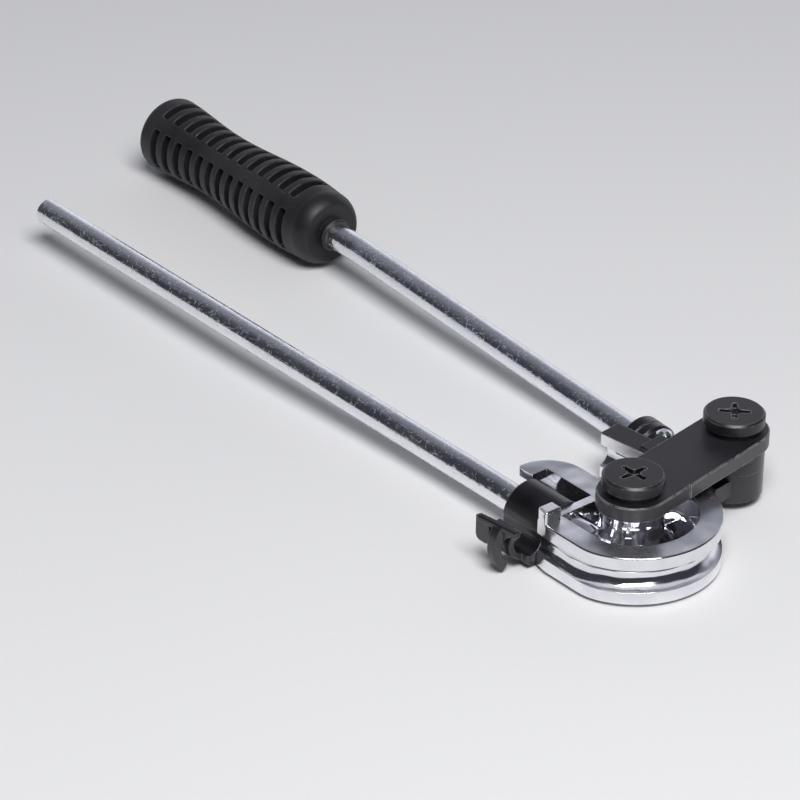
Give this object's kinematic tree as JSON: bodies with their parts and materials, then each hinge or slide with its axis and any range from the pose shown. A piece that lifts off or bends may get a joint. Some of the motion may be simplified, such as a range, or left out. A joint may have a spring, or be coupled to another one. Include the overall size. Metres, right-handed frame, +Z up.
{
  "type": "lever tube bender",
  "caption": "Two-handed lever tube bender with a grooved former, a swinging link with a shoe, a tube hook and long round handles.",
  "frame": {"origin": "on the axis of the bend, in the plane of the former's underside", "axes": "+X along the fixed handle towards its free end, +Y towards the straight run-in of the tube, +Z up along the axis of the bend"},
  "size_m": [0.4377, 0.1424, 0.0456],
  "materials": {
    "polished_casting": "polished and plated casting",
    "plated_rod": "bright plated bar with fine scratches",
    "black_casting": "satin black",
    "black_link": "satin black",
    "black_screws": "satin black",
    "steel_hardware": "zinc plated",
    "plated_screw": "bright plated",
    "bearing_bronze": "plain turned",
    "grip_plastic": "moulded, semi matte"
  },
  "bodies": {
    "frame": {"former": "polished_casting", "fixed_rod": "plated_rod", "fixed_rod_pin": "steel_hardware", "hub_bush": "bearing_bronze"},
    "hook": {"tube_hook": "black_casting"},
    "link": {"link_plate": "black_link", "hub_screw": "black_screws", "hub_neck_washer": "black_screws", "hub_spacer_washer": "steel_hardware", "hub_lower_washer": "steel_hardware", "hub_nut": "steel_hardware", "pivot_screw": "black_screws", "pivot_neck_washer": "black_screws", "pivot_spacer_washer": "steel_hardware", "pivot_lower_washer": "steel_hardware", "pivot_nut": "steel_hardware"},
    "handle": {"shoe": "polished_casting", "handle_body": "black_casting", "top_strap": "black_casting", "strap_rivets": "steel_hardware", "shoe_screw": "steel_hardware", "rod_clamp_screw": "plated_screw", "moving_rod": "plated_rod", "rod_collar": "black_casting", "grip": "grip_plastic", "grip_bush": "grip_plastic", "pivot_bush": "bearing_bronze"}
  },
  "joints": [
    {"name": "hook_swing", "type": "hinge", "parent": "frame", "child": "hook", "pos_m": [0.03, 0.019, 0.0105], "axis": [1, 0, 0], "range_deg": [0, 100]},
    {"name": "link_swing", "type": "hinge", "parent": "frame", "child": "link", "pos_m": [0, 0, 0.0105], "axis": [0, 0, 1], "range_deg": [-179, 0]},
    {"name": "handle_swing", "type": "hinge", "parent": "link", "child": "handle", "pos_m": [0.01017, -0.0642, 0.0105], "axis": [0, 0, 1], "range_deg": [-110, 0]}
  ]
}
